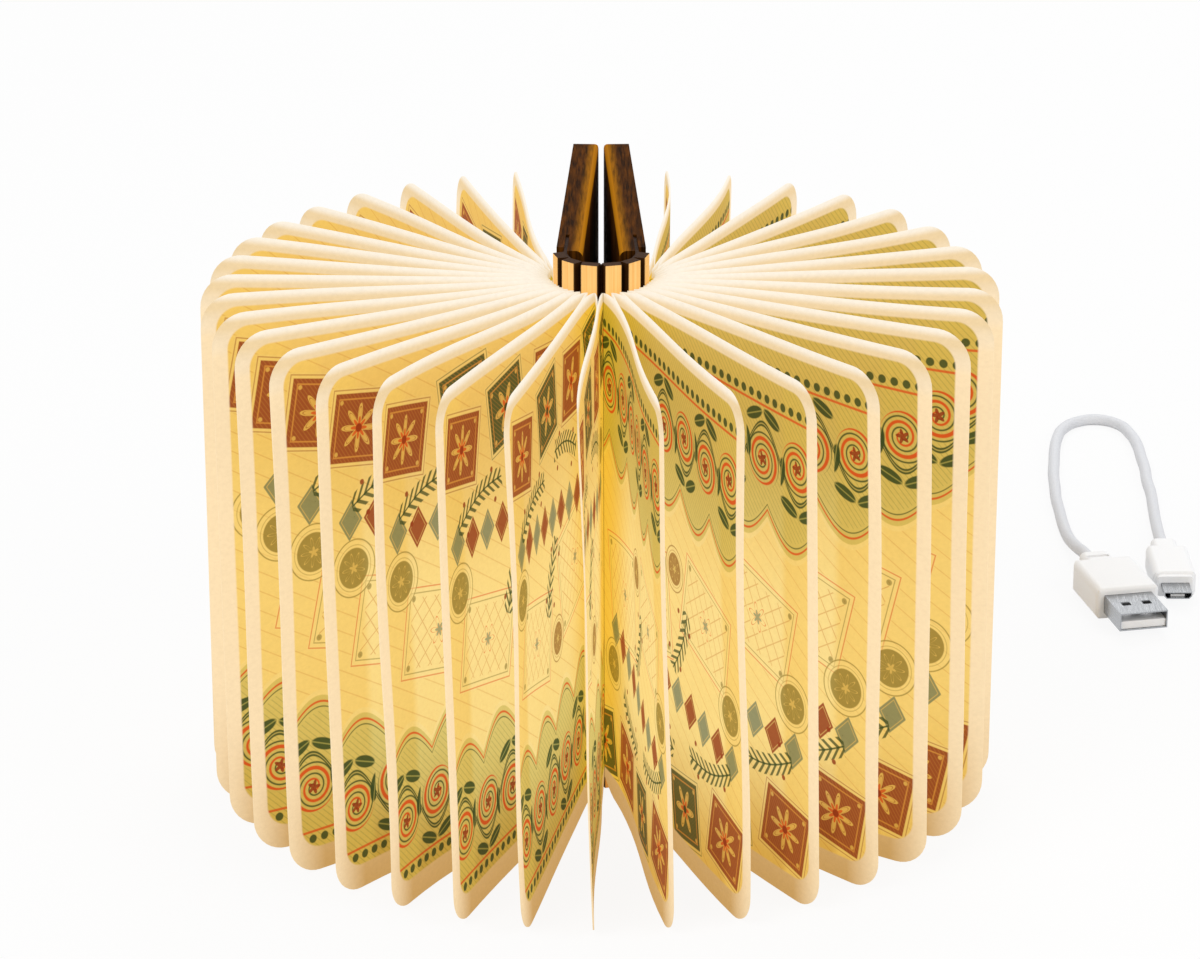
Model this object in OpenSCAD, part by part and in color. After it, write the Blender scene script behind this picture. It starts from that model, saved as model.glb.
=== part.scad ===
// Folding book lamp, opened through the full turn and stood on its lower edge.
// The spine curls round an upright axis, the leaves fan out from it, and the two covers
// lie back to back behind it. Closed, the spine is flat and the leaves are a stack.
// An azimuth of 0 points to the front, -Y, and a positive one turns towards +X.

/* [Covers] */
// Height of the covers and of the spine
cover_h = 122; // [120:0.5:130]
// Length of a cover's lining, from the spine to the fore-edge
cover_l = 81; // [79:0.5:84]
// Thickness of a cover's outer board, with the leather that is let into it
board_t = 4.2; // [4.1:0.1:4.4]
// Thickness of the lining on the page side
lining_t = 1.6; // [1.2:0.1:2.2]
// Rounding of the board's outer edges
board_edge_r = 1.6; // [0.8:0.1:2]
// Rounding of the corners at the fore-edge
cover_corner_r = 3; // [1:0.5:5]
// Angle by which each cover leans in behind the spine
cover_lean = 2.35; // [2:0.05:2.45]
// Distance from the spine's last bend to the board
board_start = 0.6; // [0.5:0.1:1.5]

/* [Spine] */
// Width of one wood slat
slat_w = 3.8; // [3.6:0.1:4]
// Gap between neighbouring slats, where the leather bends
slat_gap = 0.15; // [0.1:0.05:0.4]
// Thickness of one wood slat
slat_t = 2.4; // [2.2:0.1:2.8]
// Rounding of a slat's long outer edges
slat_edge_r = 0.3; // [0.2:0.05:0.5]
// Angle between neighbouring slats
slat_turn = 29.4; // [28.8:0.1:29.8]
// Thickness of the spine leather
leather_t = 0.8; // [0.7:0.05:0.9]
// Length of the leather that is let into each cover
tongue_l = 12; // [8:0.5:14]
// Amount by which the leather is shorter than the covers at each end
leather_inset = 0.5; // [0.3:0.1:2]

/* [Leaves] */
// Height of a leaf
leaf_h = 117; // [110:0.5:118]
// Length of a leaf from its fold to its outer edge
leaf_l = 76; // [70:0.5:78]
// Thickness of a leaf's two sheets
leaf_t = 0.3; // [0.2:0.02:0.32]
// Rounding of a leaf's outer corners
leaf_corner_r = 7.5; // [3:0.5:10]
// Height of the leaves' lower edges over the table
leaf_lift = 0.2; // [0.1:0.1:1]
// Distance of the inner folds from the slats' corners
fold_gap = 0.5; // [0.4:0.05:0.7]
// Azimuth of the leaf at the centre of the front
centre_leaf_azimuth = -2; // [-3:0.1:-1]
// Angle between neighbouring leaves on the left
left_leaf_turn = 9.85; // [9.5:0.05:9.9]
// Angle between neighbouring leaves on the right
right_leaf_turn = 11; // [10.7:0.05:11]
// Distance by which the rearmost folds stand back from the ring of folds
rear_fold_setback = 3; // [2.5:0.1:3.5]

/* [Light strips] */
// Width of a light strip
strip_w = 2.6; // [2.4:0.1:2.8]
// Length of a light strip
strip_l = 100; // [90:1:104]
// Height of a light strip's lower end
strip_z = 12; // [11:0.5:13]
// Thickness of a light strip's flexible board
strip_t = 0.3; // [0.2:0.05:0.35]
// Side of one light-emitting diode
diode_w = 1.6; // [1.4:0.1:2]
// Thickness of one light-emitting diode
diode_t = 0.5; // [0.4:0.05:0.55]
// Distance between neighbouring diodes
diode_pitch = 12; // [8:0.5:14]
// Width of the ribbon that feeds the strips
ribbon_w = 5; // [4:0.5:6]
// Height of the ribbon's lower edge
ribbon_z = 14; // [13.5:0.5:15]
// Thickness of the ribbon
ribbon_t = 0.2; // [0.15:0.01:0.24]

/* [Power] */
// Length of the cell, along the cover
cell_l = 34; // [28:1:38]
// Height of the cell
cell_h = 50; // [40:1:60]
// Thickness of the cell
cell_t = 3; // [2.6:0.1:3.1]
// Length of the circuit board, along the cover
circuit_l = 21; // [20:0.5:22]
// Height of the circuit board
circuit_h = 26; // [25:0.5:28]
// Thickness of the circuit board
circuit_t = 0.8; // [0.6:0.1:0.9]
// Width of the charging socket
socket_w = 7.5; // [7.4:0.05:7.6]
// Thickness of the charging socket
socket_t = 2.5; // [2.4:0.05:2.6]
// Depth of the charging socket
socket_l = 5.2; // [5:0.1:5.6]
// Diameter of a cover magnet
magnet_d = 8; // [6:0.5:9]
// Thickness of a cover magnet
magnet_t = 2; // [1.5:0.1:2.4]

/* [Cable] */
// Diameter of the cord
cord_d = 3; // [2.6:0.1:3.4]
// Width of the large plug's moulded body
plug_w = 16; // [14.5:0.5:17]
// Thickness of the large plug's moulded body
plug_t = 8; // [7.5:0.25:8]
// Length of the large plug's moulded body
plug_l = 20; // [16:0.5:24]
// Width of the large plug's steel shell
shell_w = 12; // [11.9:0.1:12.1]
// Thickness of the large plug's steel shell
shell_t = 4.5; // [4.4:0.05:4.6]
// Bare length of the large plug's steel shell
shell_l = 12; // [11:0.25:14]
// Width of the small plug's moulded body
micro_w = 10.6; // [9.6:0.2:11]
// Thickness of the small plug's moulded body
micro_t = 6.6; // [6:0.2:6.6]
// Length of the small plug's moulded body
micro_l = 18; // [14:0.5:20]
// Width of the small plug's steel tip
tip_w = 6.85; // [6.8:0.05:6.9]
// Thickness of the small plug's steel tip
tip_t = 1.8; // [1.7:0.05:1.85]
// Bare length of the small plug's steel tip
tip_l = 6; // [5:0.25:7]

/* [Hidden] */

$fn = 48;

// Distance of the curl's centre behind the origin, which is at the centre of the base
spine_y = 1;
// Clearances: of a small piece in its pocket, of the cell in its pocket and of the ribbon in its notch
pocket_fit = 0.1;
cell_fit = 0.2;
ribbon_fit = 0.3;
// Distance by which a cutter passes the face that it opens
over = 1;

// The curl is a ring of equal chords, with a bend at each gap between slats
slat_count = 6;
half_count = slat_count / 2;
slat_pitch = slat_w + slat_gap;
bend_r = slat_pitch / 2 / sin(slat_turn / 2);
chord_r = slat_pitch / 2 / tan(slat_turn / 2);
leather_half = leather_t / 2;
slat_base_r = chord_r + leather_half;
slat_corner_r = norm([slat_base_r + slat_t, slat_w / 2]);

// Cover sizes: X runs along a cover from the spine's last bend, Y from the leather's middle to the pages
cover_turn = 90 - cover_lean;
lining_start = leather_half + slat_t + 0.3;
fore_edge = lining_start + cover_l;
board_outer = leather_half - board_t;
tongue_fit = 0.1;

// Places in the boards
pocket_floor = board_outer + 1;
magnet_floor = board_outer + 0.8;
magnet_inset = 9;
magnet_x = fore_edge - magnet_inset;
magnet_heights = [44, 104];
cell_x = 16;
cell_z = 24;
seal_l = 4;
seal_t = 0.6;
tab_w = 2;
tab_t = 0.4;
tab_z = 27;
circuit_inset = 1.5;
circuit_x = fore_edge - circuit_inset - circuit_l;
circuit_z = 6;
circuit_top = pocket_floor + circuit_t;
part_t = 1;
// Place and size of the charger, the coil and the sensor from the circuit board's lower inner corner
board_parts = [[6, 3, 4, 4], [5, 15, 5, 5], [13, 20, 2.8, 3]];
socket_wall = 0.25;
socket_chamfer = 1;
socket_mouth = fore_edge - 0.3;
socket_x = socket_mouth - socket_l;
socket_y = -1.3;
socket_z = 18;
socket_tab = 1;
socket_tab_t = 0.3;
tongue_t = 0.6;
lead_w = 2;
lead_t = 0.5;
lead_fit = 0.2;
lead_z = ribbon_z + ribbon_w / 2;
ribbon_overlap = 4;
ribbon_end = 0.85;
ribbon_gap = ribbon_t + 0.1;

// Light strips, let into the second and the fifth slat
groove_d = strip_t + diode_t + 0.1;
tail_w = 1.5;
tail_fit = 0.15;

// The leaves' folds stand round the curl, closer together towards the back
centre_leaf = 18;
fold_r = slat_corner_r + fold_gap;
fold_share = 0.6;
fold_sway_angle = 17.2;

// Plugs
plug_collar_l = 6;
plug_collar_w = 8;
plug_collar_t = 6.4;
grip_slot_l = 1.4;
grip_slot_w = 5.6;
grip_slot_d = 0.8;
tongue_share = 0.42;
micro_collar_l = 6;
micro_collar_w = 6.6;
micro_collar_t = 5.2;
micro_step_l = 1.5;
micro_step_w = 9.2;
micro_step_t = 5.2;
shell_wall = 0.3;
tip_wall = 0.25;
tip_chamfer = 0.7;
shell_hold = 2;
cord_fit = 0.05;
window_w = 2.2;
window_x = 6;
window_spread = 2.6;

// The cord's route on the table beside the lamp, from the large plug to the small one, chosen by hand
cord_sides = 8;
cord_route = [
    [123, 112, 4], [121, 121, 4], [119.5, 130, 2.6], [118.5, 139, 1.5], [118, 148, 1.5],
    [118, 157, 1.5], [118, 166, 1.5], [118.5, 175, 1.5], [119, 184, 1.5], [120, 193, 1.5],
    [121, 202, 1.5], [122.5, 211, 1.5], [125, 219, 1.5], [129.5, 224.5, 1.5], [135, 226, 1.5],
    [140, 222.5, 1.5], [142.5, 215, 1.5], [143.5, 206, 1.5], [143.5, 197, 1.5], [143.5, 188, 1.5],
    [143, 179, 1.5], [143, 170, 1.5], [142.5, 161, 1.5], [142, 152, 1.5], [141.5, 143, 2.2],
    [141, 134, 3.3], [141, 124, 3.3]
];
cord_last = len(cord_route) - 1;

function toward(azimuth) = [sin(azimuth), -cos(azimuth)];
function unit(v) = v / norm(v);
function slat_azimuth(index) = (index - half_count - 0.5) * slat_turn;
function leaf_azimuth(index) = centre_leaf_azimuth
    + (index - centre_leaf) * (index < centre_leaf ? left_leaf_turn : right_leaf_turn);
function fold_azimuth(azimuth) = fold_share * azimuth + fold_sway_angle * sin(azimuth);
function fold_point(azimuth) = fold_r * toward(fold_azimuth(azimuth))
    + rear_fold_setback * max(0, abs(azimuth) / 90 - 1) * toward(azimuth);

// The leather's middle line: up the left cover's tongue, round the curl and into the right cover
bends = [for (i = [-half_count : half_count]) bend_r * toward(i * slat_turn)];
function along_cover(reach) = bends[0] + reach * [cos(cover_turn), sin(cover_turn)];
function mirrored(point) = [-point.x, point.y];
leather_line = concat([along_cover(tongue_l)], bends, [mirrored(along_cover(tongue_l))]);
ribbon_line = concat(
    [along_cover(tongue_l + ribbon_overlap)],
    [for (i = [0 : slat_count - 2]) bends[i]],
    [bends[slat_count - 2] + ribbon_end * (bends[slat_count - 1] - bends[slat_count - 2])]);

// One side of a strip along a line of points, with each corner where its two sides meet
function right_of(v) = [v.y, -v.x];
function step_of(line, i) = unit(line[i + 1] - line[i]);
function side_of(line, offset) = [
    for (i = [0 : len(line) - 1])
        let (before = right_of(step_of(line, max(i - 1, 0))),
             after = right_of(step_of(line, min(i, len(line) - 2))))
            line[i] + offset * (before + after) / (1 + before * after)
];
function reversed(list) = [for (i = [len(list) - 1 : -1 : 0]) list[i]];
function strip_outline(line, inner, outer) = concat(side_of(line, inner), reversed(side_of(line, outer)));

module on_spine() translate([0, spine_y, 0]) children();
module on_slat(index) on_spine()
    rotate([0, 0, slat_azimuth(index)]) translate([0, -slat_base_r, 0]) children();
module in_left_cover() on_spine()
    translate([bends[0].x, bends[0].y, 0]) rotate([0, 0, cover_turn]) children();
module in_right_cover() mirror([1, 0, 0]) in_left_cover() children();

// A rectangle with its own rounding at each corner, from the lower left one anticlockwise
module rounded_panel(w, h, radii)
{
    corners = [[0, 0, 1, 1], [w, 0, -1, 1], [w, h, -1, -1], [0, h, 1, -1]];
    difference() {
        square([w, h]);
        for (i = [0 : 3])
            if (radii[i] > 0)
                translate([corners[i][0], corners[i][1]]) square(2 * radii[i], center = true);
    }
    for (i = [0 : 3])
        if (radii[i] > 0)
            translate([corners[i][0] + radii[i] * corners[i][2], corners[i][1] + radii[i] * corners[i][3]])
                circle(radii[i]);
}

// A block along +X with its edges rounded by three crossing profiles: from above, its end and its side
module rounded_block(l, w, t, back_r, front_r, end_r, side_r)
{
    intersection() {
        translate([0, -w / 2, -t / 2]) linear_extrude(t)
            rounded_panel(l, w, [back_r, front_r, front_r, back_r]);
        translate([0, -w / 2, -t / 2]) rotate([90, 0, 90]) linear_extrude(l)
            rounded_panel(w, t, [end_r, end_r, end_r, end_r]);
        translate([0, w / 2, -t / 2]) rotate([90, 0, 0]) linear_extrude(w)
            rounded_panel(l, t, [side_r, side_r, side_r, side_r]);
    }
}

// A rectangle with its two lower corners cut off, standing across X
module chamfered_bar(l, w, t, chamfer)
{
    rotate([90, 0, 90]) linear_extrude(l)
        polygon([[-w / 2, t / 2], [-w / 2, chamfer - t / 2], [chamfer - w / 2, -t / 2],
                 [w / 2 - chamfer, -t / 2], [w / 2, chamfer - t / 2], [w / 2, t / 2]]);
}

module leaf(index)
{
    azimuth = leaf_azimuth(index);
    fold = fold_point(azimuth);
    color("moccasin")
        on_spine() translate([fold.x, fold.y, leaf_lift])
            rotate([0, 0, azimuth - 90]) rotate([90, 0, 0])
                linear_extrude(leaf_t, center = true)
                    rounded_panel(leaf_l, leaf_h, [0, leaf_corner_r, leaf_corner_r, 0]);
}

// A slat stands on the leather with its face outwards, and a notch at its base lets the ribbon pass
module slat(index)
{
    color("burlywood") on_slat(index)
        difference() {
            translate([-slat_w / 2, -slat_t, 0]) linear_extrude(cover_h)
                rounded_panel(slat_w, slat_t, [slat_edge_r, slat_edge_r, 0, 0]);
            translate([-slat_w, -ribbon_gap, ribbon_z - ribbon_fit])
                cube([2 * slat_w, ribbon_gap + over, ribbon_w + 2 * ribbon_fit]);
        }
}

// A lit slat also has a groove in its face for a light strip, and a window for the strip's tail
module lit_slat(index)
{
    difference() {
        slat(index);
        on_slat(index) {
            translate([-strip_w / 2 - pocket_fit, -slat_t - over, strip_z - pocket_fit])
                cube([strip_w + 2 * pocket_fit, groove_d + over, strip_l + 2 * pocket_fit]);
            translate([-tail_w / 2 - tail_fit, -slat_t, lead_z - tail_w / 2 - tail_fit])
                cube([tail_w + 2 * tail_fit, slat_t + over, tail_w + 2 * tail_fit]);
        }
    }
}

module led_strip(index)
{
    seat = groove_d - slat_t;
    diodes = floor((strip_l - diode_w) / diode_pitch);
    first = (strip_l - (diodes - 1) * diode_pitch) / 2;
    color("gold") on_slat(index) {
        translate([-strip_w / 2, seat - strip_t, strip_z]) cube([strip_w, strip_t, strip_l]);
        for (i = [0 : diodes - 1])
            translate([0, seat - strip_t - diode_t, strip_z + first + i * diode_pitch])
                translate([-diode_w / 2, 0, -diode_w / 2]) cube([diode_w, diode_t + strip_t / 2, diode_w]);
        translate([-tail_w / 2, seat - strip_t / 2, lead_z - tail_w / 2])
            cube([tail_w, strip_t / 2 - seat - ribbon_t, tail_w]);
    }
}

module spine_leather()
{
    color("saddlebrown") on_spine() translate([0, 0, leather_inset])
        linear_extrude(cover_h - 2 * leather_inset)
            polygon(strip_outline(leather_line, -leather_half, leather_half));
}

module led_ribbon()
{
    color("orange") on_spine() translate([0, 0, ribbon_z])
        linear_extrude(ribbon_w)
            polygon(strip_outline(ribbon_line, leather_half, leather_half + ribbon_t));
}

// The board is rounded along its outer edges, and its inner end has a rebate for the leather
module cover_board()
{
    board_l = fore_edge - board_start;
    difference() {
        intersection() {
            translate([board_start, board_outer, 0]) linear_extrude(cover_h)
                rounded_panel(board_l, board_t, [0, board_edge_r, 0, 0]);
            translate([board_start, leather_half, 0]) rotate([90, 0, 0]) linear_extrude(board_t)
                rounded_panel(board_l, cover_h, [0, cover_corner_r, cover_corner_r, 0]);
            translate([board_start, board_outer, 0]) rotate([90, 0, 90]) linear_extrude(board_l)
                rounded_panel(board_t, cover_h, [board_edge_r, 0, 0, board_edge_r]);
        }
        translate([0, -leather_half, -over])
            cube([tongue_l + tongue_fit, leather_t + over, cover_h + 2 * over]);
        for (z = magnet_heights)
            translate([magnet_x, leather_half + over, z]) rotate([90, 0, 0])
                cylinder(d = magnet_d + 2 * pocket_fit, h = leather_half + over - magnet_floor);
    }
}

// A pocket from the page side down to a floor, with its clearance round a piece of the given size
module pocket(x, z, l, h, fit, bottom)
{
    translate([x - fit, bottom, z - fit]) cube([l + 2 * fit, leather_half + over - bottom, h + 2 * fit]);
}

module left_cover_board()
{
    color("saddlebrown") in_left_cover()
        difference() {
            cover_board();
            pocket(cell_x, cell_z, cell_l, cell_h, cell_fit, pocket_floor);
            pocket(circuit_x, circuit_z, circuit_l, circuit_h, pocket_fit, pocket_floor);
            pocket(cell_x + cell_l, tab_z, circuit_x - cell_x - cell_l, tab_w, cell_fit,
                circuit_top - pocket_fit);
            pocket(tongue_l + lead_fit, lead_z - lead_w / 2, circuit_x - tongue_l, lead_w, lead_fit,
                leather_half - lead_t);
            translate([circuit_x + circuit_l - over, socket_y - socket_t / 2 - lead_fit,
                       socket_z - socket_w / 2 - lead_fit])
                cube([fore_edge, socket_t + 2 * lead_fit, socket_w + 2 * lead_fit]);
        }
}

module right_cover_board() color("saddlebrown") in_right_cover() cover_board();

module cover_lining()
{
    translate([lining_start, leather_half + lining_t, 0]) rotate([90, 0, 0]) linear_extrude(lining_t)
        rounded_panel(fore_edge - lining_start, cover_h, [0, cover_corner_r, cover_corner_r, 0]);
}

module left_cover_lining()
{
    color("sienna") in_left_cover()
        difference() {
            cover_lining();
            translate([0, leather_half - over, ribbon_z - ribbon_fit])
                cube([tongue_l + ribbon_overlap + lead_fit, over + ribbon_gap, ribbon_w + 2 * ribbon_fit]);
        }
}

module right_cover_lining() color("sienna") in_right_cover() cover_lining();

// A flat cell with a thin sealed edge, and the tab that runs from the edge to the circuit board
module battery()
{
    color("silver") in_left_cover() {
        translate([cell_x, pocket_floor, cell_z]) cube([cell_l - seal_l, cell_t, cell_h]);
        translate([cell_x + cell_l / 2, circuit_top, cell_z]) cube([cell_l / 2, seal_t, cell_h]);
        translate([cell_x + cell_l / 2, circuit_top, tab_z])
            cube([circuit_x + tab_w - cell_x - cell_l / 2, tab_t, tab_w]);
    }
}

// A part on the circuit board, from the board's lower inner corner
module board_part(x, z, l, h)
{
    translate([circuit_x + x, circuit_top - circuit_t / 2, circuit_z + z])
        cube([l, circuit_t / 2 + part_t, h]);
}

// The board carries the charger, the coil and the sensor that the right cover's magnet works
module circuit_board()
{
    color("seagreen") in_left_cover() {
        difference() {
            translate([circuit_x, pocket_floor, circuit_z]) cube([circuit_l, circuit_t, circuit_h]);
            translate([socket_x - pocket_fit, pocket_floor - over, socket_z - socket_w / 2 - pocket_fit])
                cube([socket_l + over, circuit_t + 2 * over, socket_w + 2 * pocket_fit]);
        }
        for (part = board_parts)
            board_part(part[0], part[1], part[2], part[3]);
    }
}

// A steel socket with cut lower corners, a tongue inside and a tab on each side
module charge_socket()
{
    color("silver") in_left_cover() translate([socket_x, socket_y, socket_z]) rotate([90, 0, 0]) {
        difference() {
            chamfered_bar(socket_l, socket_w, socket_t, socket_chamfer);
            translate([over, 0, 0])
                chamfered_bar(socket_l, socket_w - 2 * socket_wall, socket_t - 2 * socket_wall,
                    socket_chamfer - socket_wall / 2);
        }
        translate([over / 2, -socket_w / 4, -tongue_t / 2])
            cube([socket_l - 2 * over, socket_w / 2, tongue_t]);
        tab_y = (socket_w + socket_tab - socket_wall) / 2;
        for (side = [-1, 1])
            translate([socket_l / 4, side * tab_y, socket_y - circuit_top - socket_tab_t / 2])
                cube([socket_l / 3, socket_tab + socket_wall, socket_tab_t], center = true);
    }
}

// A flat lead that starts under the ribbon and ends in a step down to the circuit board
module cover_lead()
{
    color("dimgray") in_left_cover() {
        translate([tongue_l + lead_fit, leather_half - lead_t, lead_z - lead_w / 2])
            cube([circuit_x + lead_w - tongue_l, lead_t, lead_w]);
        translate([circuit_x + lead_fit, circuit_top, lead_z - lead_w / 2])
            cube([lead_w, leather_half - circuit_top, lead_w]);
    }
}

module cover_magnets()
{
    for (z = magnet_heights)
        translate([magnet_x, magnet_floor + magnet_t, z]) rotate([90, 0, 0])
            cylinder(d = magnet_d, h = magnet_t);
}

module left_cover_magnets() color("gray") in_left_cover() cover_magnets();
module right_cover_magnets() color("gray") in_right_cover() cover_magnets();

// The cord: a ring of points square to the route at each of its points, joined by triangles
function cord_ahead(i) = unit(cord_route[min(i + 1, cord_last)] - cord_route[max(i - 1, 0)]);
function cord_ring(i) =
    let (ahead = cord_ahead(i), across = unit(cross(ahead, [0, 0, 1])), above = cross(across, ahead))
        [for (j = [0 : cord_sides - 1])
            let (angle = (j + 0.5) * 360 / cord_sides)
                cord_route[i] + cord_d / 2 * (cos(angle) * across + sin(angle) * above)];

module usb_cable()
{
    points = [for (i = [0 : cord_last]) each cord_ring(i)];
    wall = [for (i = [0 : cord_last - 1], j = [0 : cord_sides - 1])
        let (a = i * cord_sides + j, b = i * cord_sides + (j + 1) % cord_sides)
            each [[a, b, b + cord_sides], [a, b + cord_sides, a + cord_sides]]];
    start = [for (j = [1 : cord_sides - 2]) [0, j + 1, j]];
    last = cord_last * cord_sides;
    end = [for (j = [1 : cord_sides - 2]) [last, last + j, last + j + 1]];
    color("whitesmoke") polyhedron(points, concat(wall, start, end));
}

// A plug points along +X from the end of the cord, which its collar holds
function heading(from, to) = atan2(to.y - from.y, to.x - from.x);
module at_large_plug()
    translate(cord_route[0]) rotate([0, 0, heading(cord_route[1], cord_route[0])]) children();
module at_small_plug()
    translate(cord_route[cord_last])
        rotate([0, 0, heading(cord_route[cord_last - 1], cord_route[cord_last])]) children();
module cord_hole(collar_l)
    translate([-collar_l, 0, 0]) rotate([0, 90, 0])
        cylinder(d = cord_d + 2 * cord_fit, h = collar_l + cord_fit);

module usb_plug_body()
{
    front = plug_collar_l / 2 + plug_l;
    color("whitesmoke") at_large_plug() {
        difference() {
            union() {
                translate([-plug_collar_l / 2, 0, 0])
                    rounded_block(plug_collar_l + over, plug_collar_w, plug_collar_t, 0.8, 0, 1.8, 0);
                translate([plug_collar_l / 2, 0, 0])
                    rounded_block(plug_l, plug_w, plug_t, 2.6, 1.2, 1.8, 1);
            }
            cord_hole(plug_collar_l);
            for (side = [-1, 1])
                translate([0, 0, side * plug_collar_t / 2])
                    cube([grip_slot_l, grip_slot_w, 2 * grip_slot_d], center = true);
            translate([front - shell_hold, -shell_w / 2 - cord_fit, -shell_t / 2 - cord_fit])
                cube([shell_hold + over, shell_w + 2 * cord_fit, shell_t + 2 * cord_fit]);
        }
        inner_w = shell_w - 2 * shell_wall - 2 * cord_fit;
        translate([front - shell_hold - over, -inner_w / 2, cord_fit + shell_wall - shell_t / 2])
            cube([shell_l + shell_hold + over / 2, inner_w, shell_t * tongue_share]);
    }
}

// A folded steel shell with two square windows in each broad side
module usb_plug_shell()
{
    front = plug_collar_l / 2 + plug_l;
    inner_w = shell_w - 2 * shell_wall;
    inner_t = shell_t - 2 * shell_wall;
    color("silver") at_large_plug() translate([front - shell_hold, 0, 0])
        difference() {
            translate([0, -shell_w / 2, -shell_t / 2]) cube([shell_l + shell_hold, shell_w, shell_t]);
            translate([-over, -inner_w / 2, -inner_t / 2])
                cube([shell_l + shell_hold + 2 * over, inner_w, inner_t]);
            for (side = [-1, 1])
                translate([shell_hold + window_x, side * window_spread, 0])
                    cube([window_w, window_w, shell_t + 2 * over], center = true);
        }
}

module micro_plug_body()
{
    front = micro_collar_l / 2 + micro_l;
    color("whitesmoke") at_small_plug() {
        difference() {
            union() {
                translate([-micro_collar_l / 2, 0, 0])
                    rounded_block(micro_collar_l + over, micro_collar_w, micro_collar_t, 0.8, 0, 1.6, 0);
                translate([micro_collar_l / 2, 0, 0])
                    rounded_block(micro_l, micro_w, micro_t, 2, 1, 1.6, 0.8);
                translate([front - over, 0, 0])
                    rounded_block(micro_step_l + over, micro_step_w, micro_step_t, 0, 0.6, 1.2, 0);
            }
            cord_hole(micro_collar_l);
            translate([front + micro_step_l - shell_hold, 0, 0])
                chamfered_bar(shell_hold + over, tip_w + 2 * cord_fit, tip_t + 2 * cord_fit, tip_chamfer);
        }
        translate([front + micro_step_l - shell_hold - over, -tip_w / 4, cord_fit + tip_wall - tip_t / 2])
            cube([tip_l + shell_hold, tip_w / 2, tip_t / 3]);
    }
}

module micro_plug_tip()
{
    front = micro_collar_l / 2 + micro_l + micro_step_l;
    color("silver") at_small_plug() translate([front - shell_hold, 0, 0])
        difference() {
            chamfered_bar(shell_hold + tip_l, tip_w, tip_t, tip_chamfer);
            translate([-over, 0, 0])
                chamfered_bar(shell_hold + tip_l + 2 * over, tip_w - 2 * tip_wall, tip_t - 2 * tip_wall,
                    tip_chamfer - tip_wall / 2);
        }
}

module left_led_strip() led_strip(2);
module right_led_strip() led_strip(5);
module spine_slat_1() slat(1);
module spine_slat_2() lit_slat(2);
module spine_slat_3() slat(3);
module spine_slat_4() slat(4);
module spine_slat_5() lit_slat(5);
module spine_slat_6() slat(6);

leaf(1);  // leaf_01
leaf(2);  // leaf_02
leaf(3);  // leaf_03
leaf(4);  // leaf_04
leaf(5);  // leaf_05
leaf(6);  // leaf_06
leaf(7);  // leaf_07
leaf(8);  // leaf_08
leaf(9);  // leaf_09
leaf(10);  // leaf_10
leaf(11);  // leaf_11
leaf(12);  // leaf_12
leaf(13);  // leaf_13
leaf(14);  // leaf_14
leaf(15);  // leaf_15
leaf(16);  // leaf_16
leaf(17);  // leaf_17
leaf(18);  // leaf_18
leaf(19);  // leaf_19
leaf(20);  // leaf_20
leaf(21);  // leaf_21
leaf(22);  // leaf_22
leaf(23);  // leaf_23
leaf(24);  // leaf_24
leaf(25);  // leaf_25
leaf(26);  // leaf_26
leaf(27);  // leaf_27
leaf(28);  // leaf_28
leaf(29);  // leaf_29
leaf(30);  // leaf_30
leaf(31);  // leaf_31
leaf(32);  // leaf_32
leaf(33);  // leaf_33
leaf(34);  // leaf_34
spine_slat_1();
spine_slat_2();
spine_slat_3();
spine_slat_4();
spine_slat_5();
spine_slat_6();
spine_leather();
left_cover_board();
left_cover_lining();
right_cover_board();
right_cover_lining();
battery();
circuit_board();
charge_socket();
cover_lead();
left_cover_magnets();
right_cover_magnets();
left_led_strip();
right_led_strip();
led_ribbon();
usb_cable();
usb_plug_body();
usb_plug_shell();
micro_plug_body();
micro_plug_tip();
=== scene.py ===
import math

import bmesh
import bpy
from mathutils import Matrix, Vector


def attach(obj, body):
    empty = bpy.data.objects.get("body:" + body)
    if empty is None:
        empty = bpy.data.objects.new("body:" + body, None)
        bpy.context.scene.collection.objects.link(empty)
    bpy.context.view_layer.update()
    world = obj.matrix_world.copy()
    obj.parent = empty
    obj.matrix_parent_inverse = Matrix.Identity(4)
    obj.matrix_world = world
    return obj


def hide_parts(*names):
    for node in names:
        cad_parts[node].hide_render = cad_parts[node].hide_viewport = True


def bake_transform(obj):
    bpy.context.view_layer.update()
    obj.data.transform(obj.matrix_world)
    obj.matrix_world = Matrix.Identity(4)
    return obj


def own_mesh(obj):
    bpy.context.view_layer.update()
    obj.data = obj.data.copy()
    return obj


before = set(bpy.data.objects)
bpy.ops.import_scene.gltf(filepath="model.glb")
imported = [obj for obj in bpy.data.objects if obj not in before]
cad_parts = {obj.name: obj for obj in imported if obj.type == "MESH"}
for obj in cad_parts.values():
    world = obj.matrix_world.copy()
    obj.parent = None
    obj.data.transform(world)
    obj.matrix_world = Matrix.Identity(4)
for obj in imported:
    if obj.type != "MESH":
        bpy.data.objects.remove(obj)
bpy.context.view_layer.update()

MM = 0.001
DEG = math.pi / 180

# The fan: the same driving sizes as the solids, in millimetres and degrees
SPINE_Y = 1.0
SLAT_TURN = 29.4
SLAT_W = 3.8
SLAT_PITCH = 3.95
SLAT_T = 2.4
LEATHER_T = 0.8
LEATHER_INSET = 0.5
TONGUE_L = 12.0
COVER_TURN = 87.65
COVER_H = 122.0
LEAF_L = 76.0
LEAF_H = 117.0
LEAF_LIFT = 0.2
LEAF_CORNER_R = 7.5
LEAF_COUNT = 34
CENTRE_LEAF = 18
CENTRE_AZIMUTH = -2.0
LEFT_LEAF_TURN = 9.85
RIGHT_LEAF_TURN = 11.0
FOLD_R = 11.0
FOLD_SHARE = 0.6
FOLD_SWAY = 17.2
REAR_FOLD_SETBACK = 3.0
RIBBON_Z = 14.0
RIBBON_W = 5.0
RIBBON_T = 0.2
RIBBON_OVERLAP = 4.0
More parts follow.
